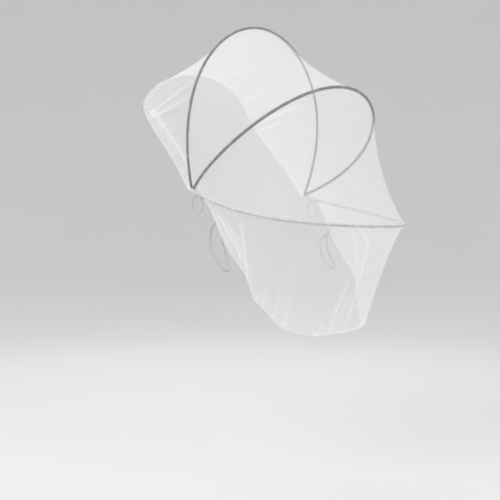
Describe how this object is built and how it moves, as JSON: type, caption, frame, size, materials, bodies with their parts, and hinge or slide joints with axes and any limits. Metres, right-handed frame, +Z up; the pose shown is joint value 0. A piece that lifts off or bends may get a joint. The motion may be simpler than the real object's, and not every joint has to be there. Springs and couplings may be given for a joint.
{
  "type": "stroller mosquito net with its sprung hoops",
  "caption": "Fitted mosquito net of sheer white gores between sprung piped hoops, with a gathered hem and elastic loops.",
  "frame": {"origin": "underside of the rear hoop's crown, under the top of the net, in the middle plane", "axes": "+X towards the foot end, +Y towards the far side, +Z up"},
  "size_m": [0.6342, 0.51, 0.7962],
  "materials": {
    "net": "fine sheer white polyester net",
    "piping": "taupe grey woven piping over a spring wire",
    "pale_piping": "pale beige woven piping over a spring wire",
    "elastic": "beige braided elastic cord"
  },
  "bodies": {
    "root": {"rear_net": "net", "top_net": "net", "front_net": "net", "lower_net": "net", "rear_hoop": "piping", "middle_hoop": "piping", "front_hoop": "pale_piping", "near_tab": "pale_piping", "far_tab": "pale_piping", "near_side_loop": "elastic", "far_side_loop": "elastic", "near_hinge_loop": "elastic", "far_hinge_loop": "elastic"}
  },
  "joints": []
}
